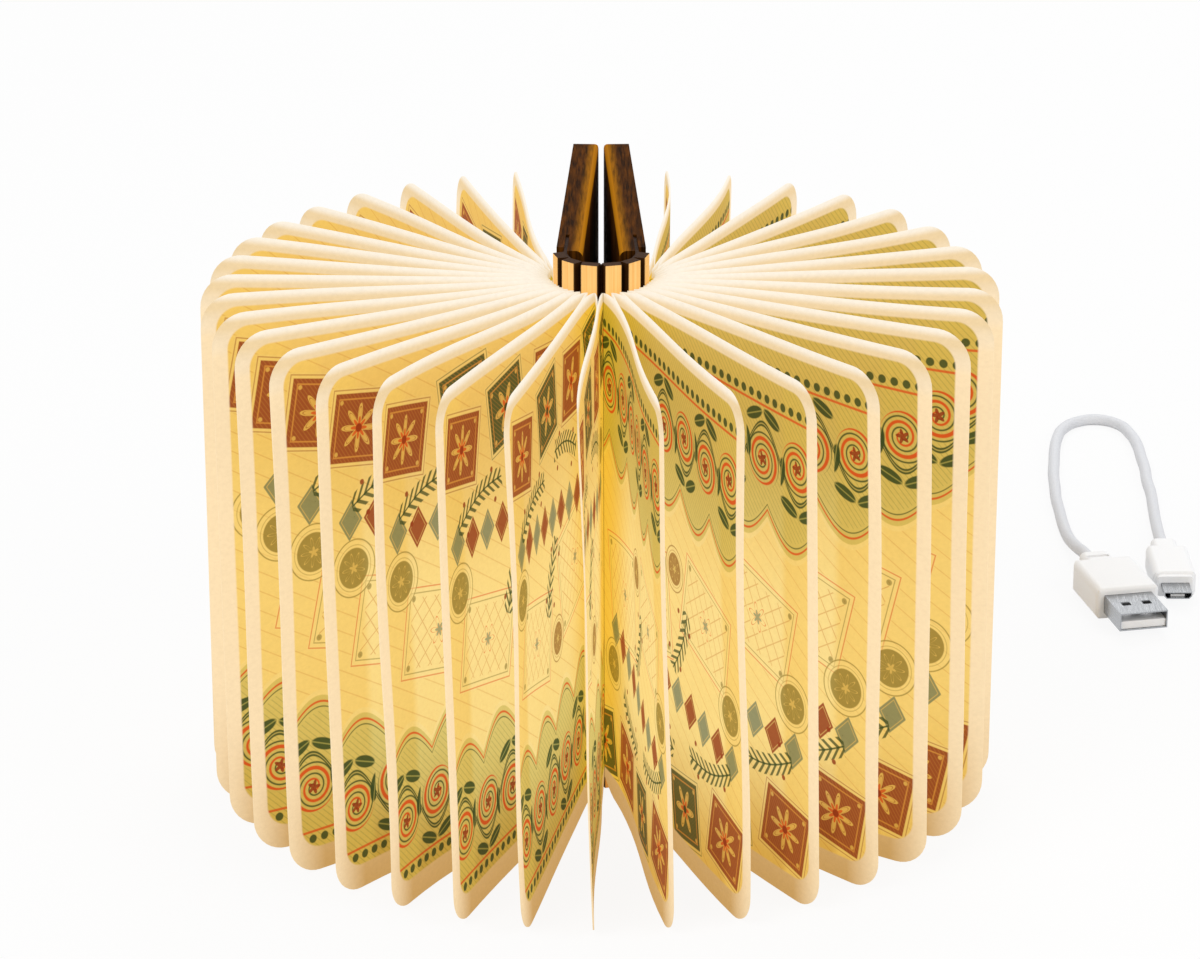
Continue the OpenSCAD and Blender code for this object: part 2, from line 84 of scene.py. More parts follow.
RIBBON_END = 0.85

# The leaves' bends and notched folds, which the flat solids leave out
REAR_CURL_FROM = 105.0
REAR_CURL_RISE = 55.0
LEFT_REAR_CURL = 3.6
RIGHT_REAR_CURL = 5.0
FOLD_NOTCH_L = 8.0
FOLD_NOTCH_FOOT = 3.0
FOLD_NOTCH_TOP = 1.0
FLARE_L = 11.0
FOOT_TURN = 2.0
# How far a leaf's two faces and their inner sides lie from its middle
SHEET_OUTER = 0.15
SHEET_INNER = 0.01

BEND_R = SLAT_PITCH / 2 / math.sin(SLAT_TURN / 2 * DEG)
SLAT_FACE_R = SLAT_PITCH / 2 / math.tan(SLAT_TURN / 2 * DEG) + LEATHER_T / 2 + SLAT_T


def toward(azimuth):
    """The level direction of an azimuth, 0 to the front and positive to the right."""
    return Vector((math.sin(azimuth * DEG), -math.cos(azimuth * DEG), 0))


def leaf_azimuth(index):
    turn = LEFT_LEAF_TURN if index < CENTRE_LEAF else RIGHT_LEAF_TURN
    return CENTRE_AZIMUTH + (index - CENTRE_LEAF) * turn


def fold_point(index):
    """Where a leaf's fold stands, in millimetres: on a ring, and set back at the rear."""
    azimuth = leaf_azimuth(index)
    on_ring = FOLD_SHARE * azimuth + FOLD_SWAY * math.sin(azimuth * DEG)
    setback = REAR_FOLD_SETBACK * max(0, abs(azimuth) / 90 - 1)
    return Vector((0, SPINE_Y, 0)) + FOLD_R * toward(on_ring) + setback * toward(azimuth)


def stand(piece):
    bpy.context.scene.collection.objects.link(piece)


# Camera: at the photograph's height and angle

CAMERA_PLACE = (-0.00026, -0.9147, 0.417)
CAMERA_TILT_DOWN = 0.3627


def make_camera():
    data = bpy.data.cameras.new("camera")
    data.sensor_width = 36
    data.lens = 134.0
    camera = bpy.data.objects.new("camera", data)
    camera.location = CAMERA_PLACE
    camera.rotation_euler = (math.pi / 2 - CAMERA_TILT_DOWN, 0, 0)
    stand(camera)
    bpy.context.scene.camera = camera


make_camera()

# Nodes and colours

MATH = "ShaderNodeMath"
VECTOR = "ShaderNodeVectorMath"
SPLIT = "ShaderNodeSeparateXYZ"
GATHER = "ShaderNodeCombineXYZ"
RANGE = "ShaderNodeMapRange"
BUMP = "ShaderNodeBump"
PLACE = "ShaderNodeTexCoord"
MIX = "ShaderNodeMix"
# A mix of colours is set by its sockets' numbers, because their names repeat
SHARE, FROM, TO = 0, 6, 7
OF_COLOURS = {"out": 2, "data_type": "RGBA"}
SMOOTH = {"interpolation_type": "SMOOTHSTEP"}
BLACK = (0, 0, 0, 1)


def add(tree, kind, *values, named=None, out=0, **settings):
    """Adds a node with its settings, and its inputs' values or links by order or by name."""
    made = tree.nodes.new(kind)
    for key, value in settings.items():
        setattr(made, key, value)
    wanted = dict(enumerate(values))
    wanted.update(named or {})
    for key, value in wanted.items():
        if isinstance(value, bpy.types.NodeSocket):
            tree.links.new(value, made.inputs[key])
        elif value is not None:
            made.inputs[key].default_value = value
    return made.outputs[out] if made.outputs else made


def colour(code):
    """A linear colour from an sRGB hex value."""
    parts = [int(code[i:i + 2], 16) / 255 for i in (1, 3, 5)]
    linear = [c / 12.92 if c <= 0.04045 else ((c + 0.055) / 1.055) ** 2.4 for c in parts]
    return (*linear, 1)


def new_material(name, **inputs):
    """A material and its tree, with a Principled shader joined to its output."""
    material = bpy.data.materials.new(name)
    material.use_nodes = True
    tree = material.node_tree
    tree.nodes.clear()
    shader = tree.nodes.new("ShaderNodeBsdfPrincipled")
    shader.name = "shader"
    for key, value in inputs.items():
        shader.inputs[key.replace("_", " ")].default_value = value
    add(tree, "ShaderNodeOutputMaterial", shader.outputs[0])
    return material, tree


def join(tree, **inputs):
    """Links patterns to the shader's inputs, such as Base_Color."""
    shader = tree.nodes["shader"]
    for key, value in inputs.items():
        tree.links.new(value, shader.inputs[key.replace("_", " ")])


def stretched_noise(tree, place, spacing, detail=3.0, seed=0.0):
    """Noise whose blotches have the given sizes along X, Y and Z, in millimetres."""
    scaled = add(tree, "ShaderNodeMapping", place, (seed, seed, seed), (0, 0, 0),
                 tuple(1000 / s for s in spacing))
    return add(tree, "ShaderNodeTexNoise", scaled,
               named={"Scale": 1.0, "Detail": detail, "Roughness": 0.55})


def relief(height, depth, strength):
    """A Bump node's inputs for a pattern whose depth is given in millimetres."""
    return {"Height": height, "Distance": depth * MM, "Strength": strength}


# The print's shapes are distances in millimetres, below 0 inside the shape

def inked(tree, distance, soft=0.12):
    """1 inside a shape and 0 outside it, over a soft edge as ink has on a fibrous paper."""
    return add(tree, RANGE, distance, soft, -soft, 0.0, 1.0)


def line_along(tree, distance, inset, width):
    """The distance to a line drawn at an inset inside a shape's edge."""
    centred = add(tree, MATH, distance, inset, operation="ADD")
    return add(tree, MATH, add(tree, MATH, centred, operation="ABSOLUTE"), width / 2, operation="SUBTRACT")


def own_place(tree, place, centre, turn=0.0):
    """Places measured from a motif's own centre and turned with it."""
    return add(tree, "ShaderNodeMapping", place, (*centre, 0), (0, 0, turn * DEG), vector_type="TEXTURE")


def panel(tree, place, width, height):
    """The distance to a rectangle."""
    beyond = add(tree, VECTOR, add(tree, VECTOR, place, operation="ABSOLUTE"),
                 (width / 2, height / 2, 0), operation="SUBTRACT")
    return add(tree, MATH, add(tree, SPLIT, beyond, out="X"), add(tree, SPLIT, beyond, out="Y"),
               operation="MAXIMUM")


def petals(tree, place, radius, count, depth):
    """The distance to a rosette whose edge goes in and out once for each petal."""
    level = add(tree, VECTOR, place, (1, 1, 0), operation="MULTIPLY")
    angle = add(tree, MATH, add(tree, SPLIT, level, out="Y"), add(tree, SPLIT, level, out="X"),
                operation="ARCTAN2")
    distance = add(tree, VECTOR, level, out="Value", operation="LENGTH")
    wave = add(tree, MATH, add(tree, MATH, angle, count, operation="MULTIPLY"), operation="COSINE")
    edge = add(tree, MATH, wave, radius * depth, radius * (1 - depth), operation="MULTIPLY_ADD")
    return add(tree, MATH, distance, edge, operation="SUBTRACT")


def disc(tree, place, radius):
    """The distance to a plain round dot."""
    return petals(tree, place, radius, 1, 0.0)


def both(tree, a, b):
    """The distance to what two shapes share."""
    return add(tree, MATH, a, b, operation="MAXIMUM")


def hatch(tree, place, half_pitch, width):
    """The distance to parallel lines at 45 degrees."""
    slanted = add(tree, MATH, add(tree, SPLIT, place, out="X"), add(tree, SPLIT, place, out="Y"),
                  operation="ADD")
    return add(tree, MATH, add(tree, MATH, slanted, half_pitch, operation="PINGPONG"), width,
               operation="SUBTRACT")


def trellis(tree, place, half_pitch, width):
    """The distance to crossed lines along the place's own axes."""
    rows = [add(tree, MATH, add(tree, SPLIT, place, out=axis), half_pitch,
                operation="PINGPONG") for axis in "XY"]
    return add(tree, MATH, add(tree, MATH, *rows, operation="MINIMUM"), width, operation="SUBTRACT")


def corner_dots(tree, place, out, up, radius):
    """The distance to four dots, one towards each corner."""
    quarter = add(tree, VECTOR, add(tree, VECTOR, place, operation="ABSOLUTE"), (out, up, 0),
                  operation="SUBTRACT")
    level = add(tree, VECTOR, quarter, (1, 1, 0), operation="MULTIPLY")
    away = add(tree, VECTOR, level, out="Value", operation="LENGTH")
    return add(tree, MATH, away, radius, operation="SUBTRACT")


def ink(tree, page, tint, distance, cover=0.92):
    """The page with one more ink, which covers a share of what is below."""
    mask = add(tree, MATH, inked(tree, distance), cover, operation="MULTIPLY")
    return add(tree, MIX, named={SHARE: mask, FROM: page, TO: colour(tint)}, **OF_COLOURS)


# The print: a generic design whose sizes are in millimetres from the outer edge and the foot

SAGE = "#DEE0BC"
DARK_GREEN = "#3C5A4C"
LEAF_RIB = "#B9C8A8"
PALE_SAGE = "#DCE0C4"
BRICK = "#9C4638"
ORANGE_RED = "#E2643E"
SLATE = "#8CA0B2"
OLIVE = "#93906C"
STRAW = "#98915E"
TAN = "#A07A52"
PALE = "#FFFDF4"
DULL_CREAM = "#E8DBB4"
GROUND = "#FFF7DE"
LINE_PITCH = 3.8
DIAMOND_PITCH = 7.4
DIAMOND_REACH = 3.5
DIAMOND_FLATNESS = 0.78
VINE_LOBE = 13.0
VINE_SWING = 6.8
VINE_HEIGHT = 20.0
SCROLL_PITCH = 2.5
SCROLL_R = 5.6
SCROLL_GROUND_R = 6.2
SCROLL_LINE_R = 6.3
# The vine's small leaves: out, up and lean in a lobe's own places
VINE_LEAVES = ((-3.2, 8.5, 24), (3.4, 8.3, -22), (6.2, 1.5, 80))
ARCH_W = 18.0
ARCH_RISE = 6.5
FIELD_H = 33.0
FOOT_LINE = 9.1
BEAD_ROW = 7.4
BEAD_PITCH = 3.0
BEAD_R = 0.95


def tile(tree, page, place, centre, turn, tint, petal_count):
    """A tilted square in one ink on a pale ground: hatched, framed, with corner dots and a flower."""
    own = own_place(tree, place, centre, turn)
    ground = panel(tree, own, 18.0, 17.0)
    square = panel(tree, own, 15.6, 14.6)
    flower = petals(tree, own, 5.2, petal_count, 0.36)
    page = ink(tree, page, PALE, ground)
    page = ink(tree, page, tint, line_along(tree, ground, 0.45, 0.22), 0.7)
    page = ink(tree, page, tint, square)
    page = ink(tree, page, "#D9B08C", both(tree, hatch(tree, own, 0.55, 0.14), square), 0.28)
    page = ink(tree, page, "#E3B48C", line_along(tree, square, 1.2, 0.3))
    page = ink(tree, page, "#E9D3AE", corner_dots(tree, own, 5.9, 5.4, 0.5))
    page = ink(tree, page, "#F0DDB8", flower, 0.94)
    page = ink(tree, page, tint, line_along(tree, flower, 0.8, 0.22), 0.8)
    page = ink(tree, page, ORANGE_RED, petals(tree, own, 2.4, petal_count, 0.3), 0.85)
    return ink(tree, page, tint, disc(tree, own, 0.9))


def flower_ring(tree, page, place, centre, radius, tint):
    """Two thin rings round a disc that is cut by a pale star of petals."""
    own = own_place(tree, place, centre, 20)
    rim = disc(tree, own, radius)
    star = petals(tree, own, radius * 0.56, 9, 0.42)
    page = ink(tree, page, PALE, rim, 0.45)
    page = ink(tree, page, tint, line_along(tree, rim, 0.2, 0.28), 0.8)
    page = ink(tree, page, tint, line_along(tree, rim, radius * 0.22, 0.16), 0.6)
    page = ink(tree, page, tint, disc(tree, own, radius * 0.68), 0.85)
    page = ink(tree, page, DULL_CREAM, line_along(tree, star, 0.3, 0.3), 0.85)
    return ink(tree, page, DULL_CREAM, petals(tree, own, radius * 0.2, 5, 0.3), 0.8)


def trellis_panel(tree, page, place, centre, turn, width, height):
    """A pale tilted rectangle with a double frame, a fine diagonal trellis and a small flower."""
    own = own_place(tree, place, centre, turn)
    sheet = panel(tree, own, width, height)
    inner = panel(tree, own, width - 5, height - 5)
    crossed = trellis(tree, own_place(tree, own, (0, 0), 45), 1.6, 0.1)
    flower = petals(tree, own, 3.4, 6, 0.35)
    dots = corner_dots(tree, own, width / 2 - 2.7, height / 2 - 2.7, 0.7)
    page = ink(tree, page, PALE, sheet)
    page = ink(tree, page, ORANGE_RED, line_along(tree, sheet, 0.35, 0.26), 0.75)
    page = ink(tree, page, OLIVE, line_along(tree, sheet, 1.5, 0.2), 0.8)
    page = ink(tree, page, "#C98A58", both(tree, crossed, inner), 0.6)
    page = ink(tree, page, PALE, petals(tree, own, 4.4, 6, 0.3))
    page = ink(tree, page, ORANGE_RED, line_along(tree, flower, 0.2, 0.3), 0.75)
    page = ink(tree, page, SLATE, petals(tree, own, 1.6, 6, 0.3), 0.8)
    return ink(tree, page, OLIVE, dots, 0.7)


def diamond_chain(tree, page, place, centre, turn, length):
    """A line of diamonds, slate and brick in turn, each with a pale one inside."""
    own = own_place(tree, place, centre, turn)
    aside = add(tree, MATH, add(tree, SPLIT, own, out="Y"), operation="ABSOLUTE")
    sloped = add(tree, MATH, aside, DIAMOND_FLATNESS, operation="MULTIPLY")
    within = panel(tree, own, length, 9.4)
    for tint, shift in ((SLATE, 0.0), (BRICK, DIAMOND_PITCH)):
        moved = add(tree, MATH, add(tree, SPLIT, own, out="X"), shift, operation="ADD")
        steps = add(tree, MATH, moved, DIAMOND_PITCH, operation="PINGPONG")
        rhomb = add(tree, MATH, sloped, steps, operation="ADD")
        shape = both(tree, add(tree, MATH, rhomb, DIAMOND_REACH, operation="SUBTRACT"), within)
        page = ink(tree, page, tint, shape)
        page = ink(tree, page, "#F3E3C2", line_along(tree, shape, 0.75, 0.22), 0.7)
    return page


def sprig(tree, page, place, centre, turn, length):
    """A curved twig of small paired leaves with berries beside it."""
    own = own_place(tree, place, centre, turn)
    x = add(tree, SPLIT, own, out="X")
    curve = add(tree, MATH, add(tree, MATH, x, 0.16, operation="MULTIPLY"), operation="COSINE")
    bent = add(tree, MATH, add(tree, SPLIT, own, out="Y"),
               add(tree, MATH, curve, 1.6, operation="MULTIPLY"), operation="SUBTRACT")
    away = add(tree, MATH, bent, operation="ABSOLUTE")
    swept = add(tree, MATH, x, away, operation="SUBTRACT")
    leaf = add(tree, MATH, add(tree, MATH, swept, 1.15, operation="PINGPONG"), 0.5, operation="SUBTRACT")
    blade = both(tree, leaf, add(tree, MATH, away, 2.4, operation="SUBTRACT"))
    stem = add(tree, MATH, away, 0.2, operation="SUBTRACT")
    within = panel(tree, own, length, 9)
    page = ink(tree, page, DARK_GREEN, both(tree, blade, within), 0.85)
    page = ink(tree, page, DARK_GREEN, both(tree, stem, within))
    return ink(tree, page, BRICK, corner_dots(tree, own, length * 0.32, 3.6, 0.6), 0.9)


def scroll(tree, page, eye, field):
    """A thick coil with a thin one between its turns, on a pale round ground."""
    away = add(tree, VECTOR, eye, out="Value", operation="LENGTH")
    angle = add(tree, MATH, add(tree, SPLIT, eye, out="Y"), add(tree, SPLIT, eye, out="X"),
                operation="ARCTAN2")
    wound = add(tree, MATH, add(tree, MATH, away, 1 / SCROLL_PITCH, operation="MULTIPLY"),
                add(tree, MATH, angle, 1 / (2 * math.pi), operation="MULTIPLY"), operation="SUBTRACT")
    centred = add(tree, MATH, add(tree, MATH, wound, operation="FRACT"), 0.5, operation="SUBTRACT")
    turn = add(tree, MATH, centred, operation="ABSOLUTE")
    thick = add(tree, MATH, away, 0.07, 0.12, operation="MULTIPLY_ADD")
    coil = add(tree, MATH, add(tree, MATH, turn, SCROLL_PITCH, operation="MULTIPLY"), thick,
               operation="SUBTRACT")
    coil = both(tree, coil, add(tree, MATH, away, SCROLL_R, operation="SUBTRACT"))
    ground = add(tree, MATH, away, SCROLL_GROUND_R, operation="SUBTRACT")
    between = add(tree, MATH, add(tree, MATH, 0.5, turn, operation="SUBTRACT"), SCROLL_PITCH,
                  operation="MULTIPLY")
    thin = both(tree, add(tree, MATH, between, 0.2, operation="SUBTRACT"),
                add(tree, MATH, away, SCROLL_LINE_R, operation="SUBTRACT"))
    page = ink(tree, page, PALE_SAGE, both(tree, ground, field), 0.6)
    page = ink(tree, page, ORANGE_RED, both(tree, coil, field), 0.95)
    return ink(tree, page, DARK_GREEN, thin, 0.9)


def vine(tree, page, place, field):
    """A waved stem with a scroll, a flower and leaves in each of its lobes, inside a field."""
    x = add(tree, SPLIT, place, out="X")
    lobe = add(tree, MATH, add(tree, MATH, x, VINE_LOBE, operation="DIVIDE"), operation="FLOOR")
    middle = add(tree, MATH, lobe, VINE_LOBE, VINE_LOBE / 2, operation="MULTIPLY_ADD")
    along = add(tree, MATH, x, middle, operation="SUBTRACT")
    # Every second lobe is turned over
    side = add(tree, MATH, add(tree, MATH, lobe, 2.0, operation="MODULO"), -2.0, 1.0,
               operation="MULTIPLY_ADD")
    above = add(tree, MATH, add(tree, SPLIT, place, out="Y"), VINE_HEIGHT, operation="SUBTRACT")
    outward = add(tree, MATH, above, side, operation="MULTIPLY")
    cell = add(tree, GATHER, along, outward)
    crest = add(tree, MATH, add(tree, MATH, along, math.pi / VINE_LOBE, operation="MULTIPLY"),
                operation="COSINE")
    swing = add(tree, MATH, crest, VINE_SWING, operation="MULTIPLY")
    off_stem = add(tree, MATH, add(tree, MATH, outward, swing, operation="SUBTRACT"), operation="ABSOLUTE")
    stem = both(tree, add(tree, MATH, off_stem, 0.62, operation="SUBTRACT"), field)
    shine = both(tree, add(tree, MATH, off_stem, 0.12, operation="SUBTRACT"), field)
    eye = own_place(tree, cell, (0.4, -0.9))
    page = scroll(tree, page, eye, field)
    page = ink(tree, page, DARK_GREEN, stem)
    page = ink(tree, page, PALE_SAGE, shine, 0.8)
    for out, up, lean in VINE_LEAVES:
        blade = own_place(tree, cell, (out, up), lean)
        slim = add(tree, VECTOR, blade, (0.42, 1.0, 0), operation="MULTIPLY")
        leaf = add(tree, MATH, add(tree, VECTOR, slim, out="Value", operation="LENGTH"), 1.35,
                   operation="SUBTRACT")
        aside = add(tree, MATH, add(tree, SPLIT, blade, out="Y"), operation="ABSOLUTE")
        rib = add(tree, MATH, aside, 0.12, operation="SUBTRACT")
        page = ink(tree, page, DARK_GREEN, both(tree, leaf, field), 0.95)
        page = ink(tree, page, LEAF_RIB, both(tree, rib, leaf), 0.8)
    return ink(tree, page, BRICK, both(tree, petals(tree, eye, 1.7, 5, 0.28), field))


def sage_field(tree, page, place):
    """The print's lower part: a sage ground with a vine, its upper edge a row of arches."""
    x = add(tree, SPLIT, place, out="X")
    y = add(tree, SPLIT, place, out="Y")
    wave = add(tree, MATH, add(tree, MATH, x, math.pi / ARCH_W, operation="MULTIPLY"), operation="SINE")
    edge = add(tree, MATH, add(tree, MATH, wave, operation="ABSOLUTE"), ARCH_RISE, FIELD_H,
               operation="MULTIPLY_ADD")
    field = add(tree, MATH, y, edge, operation="SUBTRACT")
    inside = add(tree, MATH, field, 3.6, operation="ADD")
    page = ink(tree, page, PALE, add(tree, MATH, field, 1.2, operation="SUBTRACT"))
    page = ink(tree, page, SAGE, field)
    page = ink(tree, page, "#7F9C86", both(tree, hatch(tree, place, 0.8, 0.16), inside), 0.35)
    page = ink(tree, page, ORANGE_RED, line_along(tree, field, 1.4, 0.5), 0.9)
    page = ink(tree, page, DARK_GREEN, line_along(tree, field, 2.6, 0.3), 0.8)
    page = vine(tree, page, place, inside)
    row = add(tree, GATHER, add(tree, MATH, x, BEAD_PITCH / 2, operation="PINGPONG"), y)
    page = ink(tree, page, DARK_GREEN, disc(tree, own_place(tree, row, (0, BEAD_ROW)), BEAD_R))
    off_line = add(tree, MATH, add(tree, MATH, y, FOOT_LINE, operation="SUBTRACT"), operation="ABSOLUTE")
    foot_line = add(tree, MATH, off_line, 0.28, operation="SUBTRACT")
    return ink(tree, page, ORANGE_RED, foot_line, 0.85)


def whole_print(tree, place):
    """All motifs on the paper's own colour, from back to front."""
    blotches = stretched_noise(tree, add(tree, PLACE, out="Object"), (24, 24, 30), 2.0, 4.0)
    page = add(tree, MIX, named={SHARE: blotches, FROM: colour(GROUND), TO: colour("#FFFCF0")},
               **OF_COLOURS)
    slope = own_place(tree, place, (0, 0), -31)
    row = add(tree, MATH, add(tree, SPLIT, slope, out="Y"), LINE_PITCH / 2, operation="PINGPONG")
    page = ink(tree, page, "#D2A070", add(tree, MATH, row, 0.1, operation="SUBTRACT"), 0.42)
    page = trellis_panel(tree, page, place, (22, 57), -14, 27, 20)
    page = trellis_panel(tree, page, place, (57, 63), 10, 30, 24)
    page = diamond_chain(tree, page, place, (38, 79), -7, 66)
    for centre, radius, tint in (((9, 72), 6.4, STRAW), ((40, 51), 5.2, TAN), ((69, 84), 6.0, STRAW)):
        page = flower_ring(tree, page, place, centre, radius, tint)
    for centre, turn, length in (((37, 66), 62, 17.0), ((20, 88), 12, 22.0), ((50, 90), -16, 20.0)):
        page = sprig(tree, page, place, centre, turn, length)
    page = tile(tree, page, place, (12, 102), -12, BRICK, 8)
    page = tile(tree, page, place, (34, 104), 8, DARK_GREEN, 6)
    page = tile(tree, page, place, (56, 103), -6, BRICK, 5)
    page = tile(tree, page, place, (76, 105), 14, DARK_GREEN, 8)
    return sage_field(tree, page, place)


# The page: its print, its margin and the lamp's light through it, in the print's own millimetres

MARGIN = "#FFE5BA"
# The share of the page's colour that is painted glow, in place of the lamp's light through it
PAPER_SHARE = 0.8
# The side that the print's whole map stands for
UV_SIDE = 120.0
PRINT_MIDDLE = (53.3, 59.9)
PRINT_CORNER_R = 5.0
# Half the print's width and height, up to where its corners round off
HALF_PRINT = (50.0 - PRINT_CORNER_R, 54.4 - PRINT_CORNER_R)


def page_light(tree, across, height):
    """The lamp's light through a page, painted as its colour: pale in the middle, golden above and below as
    painted shade, yellow at the fold, and golden near the outer edge as painted shade.
    """
    top = add(tree, RANGE, height, 62.0, 112.0, 0.0, 1.0, **SMOOTH)
    foot = add(tree, RANGE, height, 36.0, 3.0, 0.0, 1.0, **SMOOTH)
    # Painted shade: the light goes golden near the outer edge, where the neighbouring leaf shades the page
    painted_edge_shade = add(tree, RANGE, across, 13.5, 10.5, 0.0, 0.6, **SMOOTH)
    fold = add(tree, RANGE, across, 46.0, 76.0, 0.0, 0.95, **SMOOTH)
    light = colour("#FFE69E")
    for share, tint in ((top, "#F2C870"), (foot, "#DEB052"), (painted_edge_shade, "#F6CE6C"), (fold, "#F7C83E")):
        light = add(tree, MIX, named={SHARE: share, FROM: light, TO: colour(tint)}, **OF_COLOURS)
    return light


def page_margin(tree, across, height):
    """The margin's colour, with painted light: a painted highlight on the cut edge at the top, painted
    shade just under it, and painted tan shade towards the fold at the foot.
    """
    # Painted highlight along the top edge, then painted shade just under it
    top = add(tree, RANGE, height, 108.0, 114.0)
    under_edge = add(tree, RANGE, height, 117.0, 115.0, 0.0, 1.0, **SMOOTH)
    shaded = add(tree, MATH, under_edge, top, operation="MULTIPLY")
    # Painted shade: tan at the foot, more so towards the fold
    low = add(tree, RANGE, height, 30.0, 0.0, 0.0, 1.0, **SMOOTH)
    foot = add(tree, MATH, low, add(tree, RANGE, across, 0.8, 9.0, 0.2, 0.9), operation="MULTIPLY")
    margin = colour(MARGIN)
    for share, tint in ((top, "#FFF4E2"), (shaded, "#F1D5A6"), (foot, "#C99A50")):
        margin = add(tree, MIX, named={SHARE: share, FROM: margin, TO: colour(tint)}, **OF_COLOURS)
    return margin


def page_paper():
    """Fibrous wash paper, printed and lit from behind: matt, with the light that comes through it painted
    as a glow.
    """
    material, tree = new_material("printed_fibre_paper", Roughness=0.85, IOR=1.4,
                                  Specular_IOR_Level=0.25, Emission_Strength=1.0)
    uv = add(tree, "ShaderNodeUVMap", uv_map="print")
    place = add(tree, VECTOR, uv, (UV_SIDE, UV_SIDE, 0), operation="MULTIPLY")
    across = add(tree, SPLIT, place, out="X")
    here = add(tree, PLACE, out="Object")
    height = add(tree, MATH, add(tree, SPLIT, here, out="Z"), 1000.0, operation="MULTIPLY")
    lit = add(tree, VECTOR, whole_print(tree, place), page_light(tree, across, height),
              operation="MULTIPLY")
    # The print stops at a plain margin with rounded outer corners
    outer = own_place(tree, add(tree, GATHER, across, height), PRINT_MIDDLE)
    beyond = add(tree, VECTOR, add(tree, VECTOR, outer, operation="ABSOLUTE"), (*HALF_PRINT, 0),
                 operation="SUBTRACT")
    beyond = add(tree, VECTOR, beyond, (0, 0, 0), operation="MAXIMUM")
    printed = add(tree, MATH, add(tree, VECTOR, beyond, out="Value", operation="LENGTH"),
                  PRINT_CORNER_R, operation="SUBTRACT")
    lit = add(tree, MIX, named={SHARE: inked(tree, printed, 0.2),
                                FROM: page_margin(tree, across, height), TO: lit}, **OF_COLOURS)
    # Single fibres are too fine to show, so the pattern is as wide as clumps of them
    fibres = stretched_noise(tree, here, (1.1, 1.1, 0.8), 6.0)
    grain = add(tree, RANGE, fibres, 0.3, 0.7, 0.96, 1.03)
    lit = add(tree, VECTOR, lit, named={"Scale": grain}, operation="SCALE")
    # The lamp's light through the paper is painted: a share of the colour is given as the paper's own glow
    base = add(tree, VECTOR, lit, named={"Scale": 1 - PAPER_SHARE}, operation="SCALE")
    light = add(tree, VECTOR, lit, named={"Scale": PAPER_SHARE}, operation="SCALE")
    join(tree, Base_Color=base, Emission_Color=light,
         Normal=add(tree, BUMP, named=relief(fibres, 0.03, 0.6)))
    return material


# The other finishes

# The covers' back faces in the open lamp: X by Y from the spine to the fore-edge, and X at the start
COVER_BACK_SLOPE = -0.042
COVER_BACK_X = 0.00405
FIRST_DIODE_Z = 0.020
DIODE_PITCH = 0.012


def dark_walnut(name, seed):
    """Waxed walnut, stained dark: streaks along its length, with a painted golden highlight on the rounded
    edges at the top end and along the top face beside the back face.
    """
    material, tree = new_material(name, Roughness=0.6, IOR=1.45, Specular_IOR_Level=0.01)
    here = add(tree, PLACE, out="Object")
    streaks = stretched_noise(tree, here, (0.7, 9, 60), 5.0, seed)
    broad = stretched_noise(tree, here, (2.4, 26, 160), 2.0, seed + 3)
    pores = stretched_noise(tree, here, (0.25, 0.5, 6), 2.0, seed + 5)
    tone = add(tree, MIX, named={SHARE: add(tree, RANGE, streaks, 0.36, 0.66),
                                 FROM: colour("#1E0E02"), TO: colour("#5E340A")}, **OF_COLOURS)
    tone = add(tree, MIX, named={SHARE: add(tree, RANGE, broad, 0.45, 0.7, 0.0, 0.75), FROM: tone,
                                 TO: colour("#341B04")}, **OF_COLOURS)
    up = add(tree, SPLIT, add(tree, "ShaderNodeNewGeometry", out="Normal"), out="Z")
    # Painted highlight: golden on the rounded edges that face up, where the light falls
    slanted = add(tree, MATH, add(tree, RANGE, up, 0.12, 0.35), add(tree, RANGE, up, 0.97, 0.85),
                  operation="MULTIPLY")
    back_face = add(tree, MATH, add(tree, SPLIT, here, out="Y"), COVER_BACK_SLOPE, COVER_BACK_X,
                    operation="MULTIPLY_ADD")
    inward = add(tree, MATH, add(tree, MATH, add(tree, SPLIT, here, out="X"), operation="ABSOLUTE"),
                 back_face, operation="SUBTRACT")
    # Painted highlight: a golden streak along the top face beside the back face, varied by the streaks
    wear_and_painted_highlight = add(tree, RANGE, inward, 0.0030, 0.0006, 0.0, 1.0, **SMOOTH)
    wear_and_painted_highlight = add(tree, MATH, wear_and_painted_highlight, add(tree, RANGE, up, 0.4, 0.8, 0.0, 0.8), operation="MULTIPLY")
    wear_and_painted_highlight = add(tree, MATH, wear_and_painted_highlight, add(tree, RANGE, streaks, 0.3, 0.6, 0.35, 1.0), operation="MULTIPLY")
    golden = add(tree, MATH, wear_and_painted_highlight, slanted, operation="MAXIMUM")
    tone = add(tree, MIX, named={SHARE: golden, FROM: tone, TO: colour("#B4740E")}, **OF_COLOURS)
    height = add(tree, MATH, streaks, pores, operation="ADD")
    join(tree, Base_Color=tone, Normal=add(tree, BUMP, named=relief(height, 0.06, 0.5)))
    return material


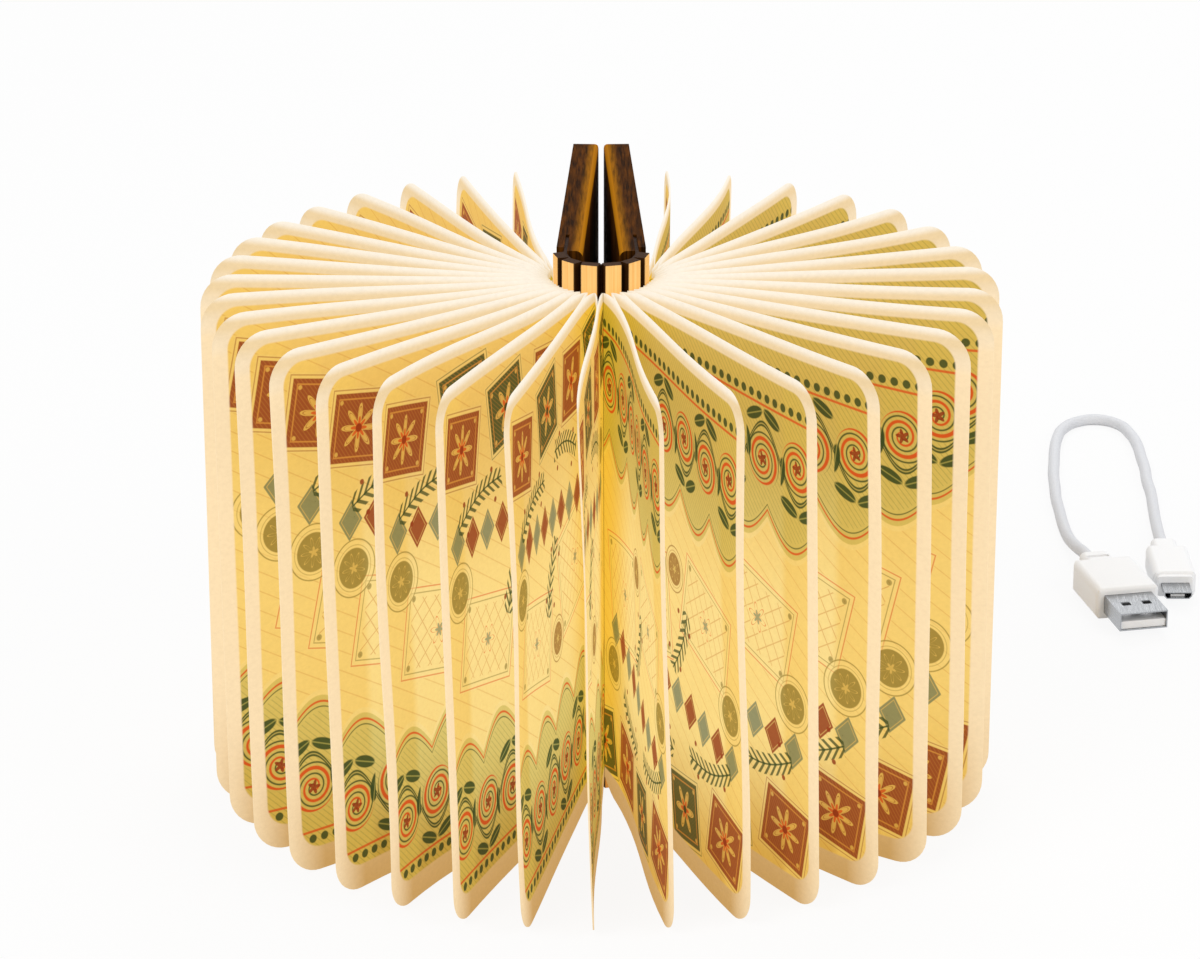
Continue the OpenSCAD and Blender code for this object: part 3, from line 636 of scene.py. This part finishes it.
def laser_cut_slat():
    """Pale fine wood cut by laser: clean warm faces with a painted glow, and charred brown ends, sides and
    corners.
    """
    material, tree = new_material("laser_cut_maple", Roughness=0.6, IOR=1.45, Specular_IOR_Level=0.05,
                                  Emission_Strength=1.0)
    here = add(tree, PLACE, out="Object")
    x = add(tree, SPLIT, here, out="X")
    behind = add(tree, MATH, add(tree, SPLIT, here, out="Y"), SPINE_Y * MM, operation="SUBTRACT")
    # Each slat's own directions come from its place round the spine's axis
    azimuth = add(tree, MATH, x, add(tree, MATH, behind, -1.0, operation="MULTIPLY"), operation="ARCTAN2")
    steps = add(tree, MATH, azimuth, SLAT_TURN * DEG, operation="DIVIDE")
    within = add(tree, MATH, add(tree, MATH, steps, operation="FRACT"), 0.5, operation="SUBTRACT")
    level = add(tree, VECTOR, add(tree, GATHER, x, behind), out="Value", operation="LENGTH")
    turn = add(tree, MATH, within, SLAT_TURN * DEG, operation="MULTIPLY")
    aside = add(tree, MATH, add(tree, MATH, turn, operation="SINE"), level, operation="MULTIPLY")
    across = add(tree, MATH, aside, operation="ABSOLUTE")
    out_from_axis = add(tree, MATH, add(tree, MATH, turn, operation="COSINE"), level, operation="MULTIPLY")
    grain = stretched_noise(tree, here, (0.5, 0.5, 30), 4.0, 2.0)
    pale = add(tree, MIX, named={SHARE: add(tree, RANGE, grain, 0.3, 0.7), FROM: colour("#E9B468"),
                                 TO: colour("#FBD08C")}, **OF_COLOURS)
    normal = add(tree, "ShaderNodeNewGeometry", out="Normal")
    up = add(tree, MATH, add(tree, SPLIT, normal, out="Z"), operation="ABSOLUTE")
    ends = add(tree, RANGE, up, 0.5, 0.8)
    sides = add(tree, RANGE, across, (SLAT_W / 2 - 0.28) * MM, (SLAT_W / 2 - 0.06) * MM)
    back = add(tree, RANGE, out_from_axis, (SLAT_FACE_R - 0.12) * MM, (SLAT_FACE_R - 0.3) * MM)
    char = add(tree, MATH, add(tree, MATH, ends, sides, operation="MAXIMUM"), back, operation="MAXIMUM")
    soot = add(tree, MIX, named={SHARE: grain, FROM: colour("#1C0E05"), TO: colour("#46290E")},
               **OF_COLOURS)
    tone = add(tree, MIX, named={SHARE: char, FROM: pale, TO: soot}, **OF_COLOURS)
    # Painted glow on the pale faces, in place of the leaves' light falling on them; the charred parts give
    # none
    light = add(tree, MIX, named={SHARE: char, FROM: colour("#6B4A20"), TO: BLACK}, **OF_COLOURS)
    join(tree, Base_Color=tone, Emission_Color=light,
         Normal=add(tree, BUMP, named=relief(grain, 0.04, 0.5)))
    return material


def spine_hide():
    """Smooth bookbinding leather, dyed dark brown: fine pebbles and small creases."""
    material, tree = new_material("dark_brown_leather", Roughness=0.6, IOR=1.45,
                                  Specular_IOR_Level=0.06)
    here = add(tree, PLACE, out="Object")
    scaled = add(tree, "ShaderNodeMapping", here, None, None, (1000, 1000, 1000))
    pebbles = add(tree, "ShaderNodeTexVoronoi", scaled, named={"Scale": 1.4})
    creases = stretched_noise(tree, here, (1.5, 1.5, 6), 4.0, 1.0)
    tone = add(tree, MIX, named={SHARE: creases, FROM: colour("#1E0F07"), TO: colour("#3B2211")},
               **OF_COLOURS)
    join(tree, Base_Color=tone, Normal=add(tree, BUMP, named=relief(pebbles, 0.08, 0.6)))
    return material


def moulded_plastic(name, light, dark, spacing, roughness):
    """Injection-moulded thermoplastic: an even colour with the mould's fine spark texture."""
    material, tree = new_material(name, Roughness=roughness, IOR=1.5)
    here = add(tree, PLACE, out="Object")
    # The real texture is too fine to show, so it is drawn a few times coarser
    texture = stretched_noise(tree, here, (spacing, spacing, spacing), 2.0)
    tone = add(tree, MIX, named={SHARE: texture, FROM: colour(dark), TO: colour(light)}, **OF_COLOURS)
    join(tree, Base_Color=tone, Normal=add(tree, BUMP, named=relief(texture, 0.03, 0.5)))
    return material


def folded_steel(name, tint, roughness):
    """Nickel-plated sheet steel, drawn and folded: fine marks along its length."""
    material, tree = new_material(name, Metallic=1.0, Roughness=roughness)
    here = add(tree, PLACE, out="Object")
    # The real marks are too fine to show, so they are drawn a few times wider
    marks = stretched_noise(tree, here, (0.25, 6, 0.25), 3.0)
    tone = add(tree, MIX, named={SHARE: marks, FROM: colour("#8F9296"), TO: colour(tint)}, **OF_COLOURS)
    wear_and_painted_highlight = add(tree, RANGE, marks, 0.2, 0.8, roughness - 0.06, roughness + 0.1)
    join(tree, Base_Color=tone, Roughness=wear_and_painted_highlight, Normal=add(tree, BUMP, named=relief(marks, 0.01, 0.4)))
    return material


def diode_strip():
    """White solder mask with warm phosphor on the diodes, which stand proud of the strip."""
    material, tree = new_material("white_solder_mask", Roughness=0.4, IOR=1.45, Emission_Strength=1.0)
    here = add(tree, PLACE, out="Object")
    above = add(tree, MATH, add(tree, SPLIT, here, out="Z"), -FIRST_DIODE_Z, operation="ADD")
    along = add(tree, MATH, above, DIODE_PITCH / 2, operation="PINGPONG")
    diode = add(tree, RANGE, along, 0.0009, 0.0007)
    speckle = stretched_noise(tree, here, (0.6, 0.6, 0.6), 2.0)
    mask = add(tree, MIX, named={SHARE: speckle, FROM: colour("#E4DFD2"), TO: colour("#F4F0E6")},
               **OF_COLOURS)
    tone = add(tree, MIX, named={SHARE: diode, FROM: mask, TO: colour("#F6D25A")}, **OF_COLOURS)
    light = add(tree, MIX, named={SHARE: diode, FROM: BLACK, TO: colour("#FFE6A0")}, **OF_COLOURS)
    join(tree, Base_Color=tone, Emission_Color=light)
    return material


PAPER = page_paper()
WALNUT_BOARD = dark_walnut("waxed_walnut_board", 0.0)
WALNUT_LINING = dark_walnut("waxed_walnut_lining", 7.0)
MAPLE = laser_cut_slat()
LEATHER = spine_hide()
WHITE_CORD = moulded_plastic("matt_white_cord_jacket", "#E4E5E8", "#C9CBD0", 0.35, 0.6)
WHITE_PLASTIC = moulded_plastic("satin_white_moulding", "#F6F6F6", "#EBECEE", 0.3, 0.42)
AMBER_FILM = moulded_plastic("amber_polyimide_film", "#C8801E", "#A8640F", 2.0, 0.3)
BLACK_LEAD = moulded_plastic("black_flat_lead", "#1C1C1E", "#101012", 0.5, 0.5)
GREEN_BOARD = moulded_plastic("green_solder_mask", "#1F6B3A", "#12502A", 1.5, 0.3)
CELL_FOIL = folded_steel("embossed_cell_foil", "#D6D8DA", 0.35)
NICKEL = folded_steel("bright_nickel_plate", "#D4D3CE", 0.15)
STEEL = folded_steel("plated_shell_steel", "#BFC1C4", 0.24)
DIODES = diode_strip()

# The charging cable: the cord's points are those of the solids, in metres

CORD_D = 0.003
CORD_ROUTE = [
    (0.123, 0.112, 0.004), (0.121, 0.121, 0.004), (0.1195, 0.130, 0.0026), (0.1185, 0.139, 0.0015),
    (0.118, 0.148, 0.0015), (0.118, 0.157, 0.0015), (0.118, 0.166, 0.0015), (0.1185, 0.175, 0.0015),
    (0.119, 0.184, 0.0015), (0.120, 0.193, 0.0015), (0.121, 0.202, 0.0015), (0.1225, 0.211, 0.0015),
    (0.125, 0.219, 0.0015), (0.1295, 0.2245, 0.0015), (0.135, 0.226, 0.0015), (0.140, 0.2225, 0.0015),
    (0.1425, 0.215, 0.0015), (0.1435, 0.206, 0.0015), (0.1435, 0.197, 0.0015), (0.1435, 0.188, 0.0015),
    (0.143, 0.179, 0.0015), (0.143, 0.170, 0.0015), (0.1425, 0.161, 0.0015), (0.142, 0.152, 0.0015),
    (0.1415, 0.143, 0.0022), (0.141, 0.134, 0.0033), (0.141, 0.124, 0.0033),
]


def make_cord():
    """The cord as a round curve, which moves with the body spine_3 in place of the solid cable."""
    curve = bpy.data.curves.new("charging_cord", "CURVE")
    curve.dimensions = "3D"
    curve.bevel_depth = CORD_D / 2
    curve.bevel_resolution = 5
    curve.resolution_u = 6
    curve.use_fill_caps = True
    spline = curve.splines.new("BEZIER")
    spline.bezier_points.add(len(CORD_ROUTE) - 1)
    for point, place in zip(spline.bezier_points, CORD_ROUTE):
        point.co = place
        point.handle_left_type = "AUTO"
        point.handle_right_type = "AUTO"
    curve.materials.append(WHITE_CORD)
    cord = bpy.data.objects.new("charging_cord", curve)
    stand(cord)
    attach(cord, "spine_3")
    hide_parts("usb_cable")


make_cord()


# Leaves: a blank is made once, flat, and a tree bends it and sets it in the fan

LEAF_NUMBERS = ["Length", "Height", "Azimuth", "Curl", "Bow", "Wave", "Ripple", "Flare",
                "Flare Length", "Foot Turn"]


def leaf_columns():
    """Distances from the fold, closer together where the leaf flares and at its rounded corners."""
    flare = [0, 0.8, 1.6, 2.6, 4, 6, 9, 13]
    middle = [18 + 5.5 * i for i in range(10)]
    corner = [LEAF_L - LEAF_CORNER_R * (1 - math.sin(i * 10 * DEG)) for i in range(10)]
    return flare + middle + corner


def leaf_blank():
    """Two sheets that meet at the outer edge: X from the fold, Y across, Z up, in millimetres."""
    mesh = bmesh.new()
    uv = mesh.loops.layers.uv.new("print")
    columns = leaf_columns()
    rows = 22
    for side in (1, -1):
        layers = []
        for depth in (SHEET_OUTER, SHEET_INNER):
            grid = []
            for x in columns:
                past = max(0, x - (LEAF_L - LEAF_CORNER_R))
                cut = LEAF_CORNER_R - math.sqrt(max(0, LEAF_CORNER_R ** 2 - past ** 2))
                notch = max(0, 1 - x / FOLD_NOTCH_L) ** 2
                low = cut + FOLD_NOTCH_FOOT * notch
                high = LEAF_H - cut - FOLD_NOTCH_TOP * notch
                grid.append([mesh.verts.new((x, side * depth, low + (high - low) * j / rows))
                             for j in range(rows + 1)])
            layers.append(grid)
        outer, inner = layers
        faces = []
        last = len(columns) - 1
        for i in range(last):
            for j in range(rows):
                a, b, c, d = outer[i][j], outer[i + 1][j], outer[i + 1][j + 1], outer[i][j + 1]
                faces.append((a, b, c, d) if side < 0 else (d, c, b, a))
                a, b, c, d = inner[i][j], inner[i + 1][j], inner[i + 1][j + 1], inner[i][j + 1]
                faces.append((d, c, b, a) if side < 0 else (a, b, c, d))
            for j in (0, rows):
                a, b, c, d = outer[i][j], outer[i + 1][j], inner[i + 1][j], inner[i][j]
                faces.append((d, c, b, a) if (side < 0) == (j == 0) else (a, b, c, d))
        for i in (0, last):
            for j in range(rows):
                a, b, c, d = outer[i][j], outer[i][j + 1], inner[i][j + 1], inner[i][j]
                faces.append((a, b, c, d) if (side < 0) == (i == 0) else (d, c, b, a))
        for quad in faces:
            face = mesh.faces.new(quad)
            face.smooth = True
            for loop in face.loops:
                across = LEAF_L - loop.vert.co.x
                up = loop.vert.co.z if side > 0 else LEAF_H - loop.vert.co.z
                loop[uv].uv = (across / UV_SIDE, up / UV_SIDE)
    data = bpy.data.meshes.new("leaf_blank")
    mesh.to_mesh(data)
    mesh.free()
    return data


def fan_leaf_tree():
    """Bends a blank leaf, flares its sheets at the fold, turns its foot and sets it in the fan."""
    tree = bpy.data.node_groups.new("fan_leaf", "GeometryNodeTree")
    sockets = tree.interface
    sockets.new_socket("Geometry", in_out="INPUT", socket_type="NodeSocketGeometry")
    for name in LEAF_NUMBERS:
        sockets.new_socket(name, in_out="INPUT", socket_type="NodeSocketFloat")
    sockets.new_socket("Fold", in_out="INPUT", socket_type="NodeSocketVector")
    sockets.new_socket("Material", in_out="INPUT", socket_type="NodeSocketMaterial")
    sockets.new_socket("Geometry", in_out="OUTPUT", socket_type="NodeSocketGeometry")
    given = tree.nodes.new("NodeGroupInput").outputs
    place = add(tree, "GeometryNodeInputPosition")
    x, y, z = (add(tree, SPLIT, place, out=axis) for axis in "XYZ")
    along = add(tree, MATH, x, given["Length"], operation="DIVIDE")
    up = add(tree, MATH, z, given["Height"], operation="DIVIDE")
    half = add(tree, MATH, along, math.pi, operation="MULTIPLY")
    bow = add(tree, MATH, add(tree, MATH, half, operation="SINE"), given["Bow"], operation="MULTIPLY")
    whole = add(tree, MATH, half, 2.0, operation="MULTIPLY")
    wave = add(tree, MATH, add(tree, MATH, whole, operation="SINE"), given["Wave"], operation="MULTIPLY")
    rise = add(tree, MATH, add(tree, MATH, up, 2.4 * math.pi, operation="MULTIPLY"), whole, operation="ADD")
    ripple = add(tree, MATH, add(tree, MATH, add(tree, MATH, rise, operation="SINE"), along,
                                 operation="MULTIPLY"), given["Ripple"], operation="MULTIPLY")
    curl = add(tree, MATH, add(tree, MATH, along, 2.0, operation="POWER"), given["Curl"],
               operation="MULTIPLY")
    side = add(tree, MATH, y, operation="SIGN")
    near = add(tree, MATH, 1.0, add(tree, MATH, x, given["Flare Length"], operation="DIVIDE"),
               operation="SUBTRACT", use_clamp=True)
    flare = add(tree, MATH, add(tree, MATH, near, 1.6, operation="POWER"),
                add(tree, MATH, side, given["Flare"], operation="MULTIPLY"), operation="MULTIPLY")
    across = add(tree, MATH, add(tree, MATH, y, flare, operation="ADD"),
                 add(tree, MATH, add(tree, MATH, bow, wave, operation="ADD"),
                     add(tree, MATH, ripple, curl, operation="ADD"), operation="ADD"), operation="ADD")
    bent = add(tree, GATHER, x, across, z)
    turned = add(tree, "ShaderNodeVectorRotate", bent, named={"Angle": given["Azimuth"]},
                 rotation_type="Z_AXIS")
    placed = add(tree, VECTOR, turned, given["Fold"], operation="ADD")
    foot = add(tree, MATH, add(tree, MATH, 0.5, up, operation="SUBTRACT"), given["Foot Turn"],
               operation="MULTIPLY")
    final = add(tree, "ShaderNodeVectorRotate", placed,
                named={"Center": (0, SPINE_Y, 0), "Angle": foot}, rotation_type="Z_AXIS")
    metres = add(tree, VECTOR, final, named={"Scale": MM}, operation="SCALE")
    moved = add(tree, "GeometryNodeSetPosition", given["Geometry"], named={"Position": metres})
    plain = add(tree, "GeometryNodeRealizeInstances", moved)
    finished = add(tree, "GeometryNodeSetMaterial", plain, named={"Material": given["Material"]})
    result = tree.nodes.new("NodeGroupOutput")
    tree.links.new(finished, result.inputs[0])
    return tree


def grown(blank, name, tree, values):
    """A plain mesh object: the blank after the tree, with the tree's named inputs set."""
    piece = bpy.data.objects.new(name, blank)
    stand(piece)
    modifier = piece.modifiers.new("shape", "NODES")
    modifier.node_group = tree
    for item in tree.interface.items_tree:
        if item.in_out == "INPUT" and item.name in values:
            modifier[item.identifier] = values[item.name]
    bpy.context.view_layer.update()
    graph = bpy.context.evaluated_depsgraph_get()
    mesh = bpy.data.meshes.new_from_object(piece.evaluated_get(graph), preserve_all_data_layers=True,
                                           depsgraph=graph)
    mesh.name = name
    piece.modifiers.clear()
    piece.data = mesh
    return piece


def make_leaves():
    """All leaves, each bent a little by its number and flared to its neighbours at the fold."""
    blank = leaf_blank()
    tree = fan_leaf_tree()
    for index in range(1, LEAF_COUNT + 1):
        azimuth = leaf_azimuth(index)
        body = f"page_{index:02d}"
        fold = fold_point(index)
        before = fold_point(max(index - 1, 1))
        after = fold_point(min(index + 1, LEAF_COUNT))
        spacing = (after - before).length / (2 if 1 < index < LEAF_COUNT else 1)
        rear = min(1.0, max(0.0, abs(azimuth) - REAR_CURL_FROM) / REAR_CURL_RISE)
        most = RIGHT_REAR_CURL if azimuth > 0 else -LEFT_REAR_CURL
        uneven = math.sin(index * 2.4)
        values = {
            "Length": LEAF_L, "Height": LEAF_H, "Azimuth": (azimuth - 90) * DEG,
            "Curl": most * rear, "Bow": 0.3 * uneven, "Wave": 0.4 + 0.3 * math.cos(index * 1.7),
            "Ripple": 0.4 * math.sin(index * 1.3 + 1), "Flare": max(0.0, spacing / 2 - SHEET_OUTER),
            "Flare Length": FLARE_L, "Foot Turn": FOOT_TURN * DEG,
            "Fold": (fold.x, fold.y, LEAF_LIFT), "Material": PAPER,
        }
        leaf = grown(blank, f"page_leaf_{index:02d}", tree, values)
        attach(leaf, body)
        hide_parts(f"leaf_{index:02d}")
        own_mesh(leaf)


make_leaves()


# Leather and ribbon: one piece for each bend, from the middle of a slat to the middle of the next

# How far from a bend the strip rounds off, and how far it follows both neighbours
BEND_SOFTNESS = 0.7


def bend_point(index):
    return Vector((0, SPINE_Y, 0)) + BEND_R * toward(index * SLAT_TURN)


def cover_way(side):
    """The direction of a cover away from the spine: side is -1 on the left and 1 on the right."""
    return Vector((-side * math.cos(COVER_TURN * DEG), math.sin(COVER_TURN * DEG), 0))


def strip_mesh(name, line, inner, outer, low, high):
    """A strip with two faces at the given offsets to the right of a line, all in millimetres."""
    mesh = bmesh.new()
    rings = []
    for i, point in enumerate(line):
        ahead = (line[min(i + 1, len(line) - 1)] - line[max(i - 1, 0)]).normalized()
        right = Vector((ahead.y, -ahead.x, 0))
        section = ((inner, low), (outer, low), (outer, high), (inner, high))
        rings.append([mesh.verts.new((point + right * off + Vector((0, 0, z))) * MM)
                      for off, z in section])
    for a, b in zip(rings, rings[1:]):
        for j in range(4):
            mesh.faces.new((a[j], a[(j + 1) % 4], b[(j + 1) % 4], b[j]))
    mesh.faces.new(rings[0][::-1])
    mesh.faces.new(rings[-1])
    bmesh.ops.recalc_face_normals(mesh, faces=mesh.faces)
    data = bpy.data.meshes.new(name)
    mesh.to_mesh(data)
    mesh.free()
    piece = bpy.data.objects.new(name, data)
    stand(piece)
    return piece


def bend_line(index, reach_before, reach_after):
    """Points over one bend of the spine, rounded at the bend, from left to right."""
    centre = bend_point(index)
    before = -cover_way(-1) if index == -3 else (centre - bend_point(index - 1)).normalized()
    after = cover_way(1) if index == 3 else (bend_point(index + 1) - centre).normalized()
    line = [centre - before * (reach_before - (reach_before - BEND_SOFTNESS) * i / 4) for i in range(4)]
    for i in range(9):
        t = i / 8
        line.append(centre - before * BEND_SOFTNESS * (1 - t) ** 2 + after * BEND_SOFTNESS * t ** 2)
    line += [centre + after * (BEND_SOFTNESS + (reach_after - BEND_SOFTNESS) * i / 4)
             for i in range(1, 5)]
    return line, centre, before, after


def bent_strip(name, index, reach_before, reach_after, inner, outer, low, high, material):
    line, centre, before, after = bend_line(index, reach_before, reach_after)
    piece = strip_mesh(name, line, inner, outer, low, high)
    piece.data.materials.append(material)
    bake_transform(piece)
    return piece


def make_spine():
    half = SLAT_PITCH / 2
    for index in range(-3, 4):
        piece = bent_strip(f"spine_leather_{index + 4}", index, TONGUE_L if index == -3 else half,
                           TONGUE_L if index == 3 else half, -LEATHER_T / 2, LEATHER_T / 2,
                           LEATHER_INSET, COVER_H - LEATHER_INSET, LEATHER)
        if index == -3:
            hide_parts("spine_leather")
    for index in range(-3, 2):
        piece = bent_strip(f"strip_ribbon_{index + 4}", index,
                           TONGUE_L + RIBBON_OVERLAP if index == -3 else half,
                           RIBBON_END * SLAT_PITCH if index == 1 else half, LEATHER_T / 2,
                           LEATHER_T / 2 + RIBBON_T, RIBBON_Z, RIBBON_Z + RIBBON_W, AMBER_FILM)
        if index == -3:
            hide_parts("led_ribbon")


make_spine()

# Finishes of the solids that stay

FINISHES = {
    MAPLE: [f"spine_slat_{i}" for i in range(1, 7)],
    WALNUT_BOARD: ["left_cover_board", "right_cover_board"],
    WALNUT_LINING: ["left_cover_lining", "right_cover_lining"],
    CELL_FOIL: ["battery"],
    GREEN_BOARD: ["circuit_board"],
    STEEL: ["charge_socket", "usb_plug_shell", "micro_plug_tip"],
    BLACK_LEAD: ["cover_lead"],
    NICKEL: ["left_cover_magnets", "right_cover_magnets"],
    DIODES: ["left_led_strip", "right_led_strip"],
    WHITE_PLASTIC: ["usb_plug_body", "micro_plug_body"],
}
for finish, nodes in FINISHES.items():
    for name in nodes:
        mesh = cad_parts[name].data
        mesh.materials.clear()
        mesh.materials.append(finish)


# Studio: a pale table, a white surround and soft lamps

TABLE_HALF = 2.5
TABLE_TOP_Z = -0.0001
AIM = Vector((0, 0, 0.06))


def seen_directly(tree):
    """1 for what is seen straight on or mirrored, so that it is white, and 0 for the light it gives."""
    path = tree.nodes.new("ShaderNodeLightPath").outputs
    seen = add(tree, MATH, path["Is Camera Ray"], path["Is Glossy Ray"], operation="MAXIMUM")
    return add(tree, MATH, seen, path["Is Transmission Ray"], operation="MAXIMUM")


def make_stage():
    material = bpy.data.materials.new("white_table")
    material.use_nodes = True
    tree = material.node_tree
    tree.nodes.clear()
    matt = add(tree, "ShaderNodeBsdfDiffuse", (0.82, 0.82, 0.82, 1))
    bright = add(tree, "ShaderNodeEmission", (1, 1, 1, 1), 1.0)
    share = add(tree, MATH, seen_directly(tree), 0.9, operation="MULTIPLY")
    add(tree, "ShaderNodeOutputMaterial", add(tree, "ShaderNodeMixShader", share, matt, bright))
    mesh = bpy.data.meshes.new("table_top")
    outline = [(x * TABLE_HALF, y * TABLE_HALF, 0) for x, y in ((-1, -1), (1, -1), (1, 1), (-1, 1))]
    mesh.from_pydata(outline, [], [(0, 1, 2, 3)])
    mesh.materials.append(material)
    table = bpy.data.objects.new("table_top", mesh)
    table.location.z = TABLE_TOP_Z
    stand(table)


def make_lamp(name, place, size, watts):
    """A round soft lamp that faces the middle of the part."""
    data = bpy.data.lights.new(name, "AREA")
    data.shape = "DISK"
    data.size = size
    data.energy = watts
    lamp = bpy.data.objects.new(name, data)
    lamp.location = place
    lamp.rotation_euler = (AIM - Vector(place)).to_track_quat("-Z", "Y").to_euler()
    stand(lamp)


def make_world():
    world = bpy.data.worlds.new("white_surround")
    bpy.context.scene.world = world
    world.use_nodes = True
    tree = world.node_tree
    tree.nodes.clear()
    strength = add(tree, RANGE, seen_directly(tree), 0.0, 1.0, 0.55, 1.0)
    add(tree, "ShaderNodeOutputWorld", add(tree, "ShaderNodeBackground", (1, 1, 1, 1), strength))


make_stage()
make_world()
make_lamp("key_softbox", (-0.7, -0.9, 1.1), 0.9, 9.0)
make_lamp("fill_softbox", (0.9, -0.6, 0.8), 0.9, 5.0)
make_lamp("back_softbox", (0.2, 0.9, 1.0), 0.8, 5.0)
bpy.context.scene.view_settings.view_transform = "Standard"
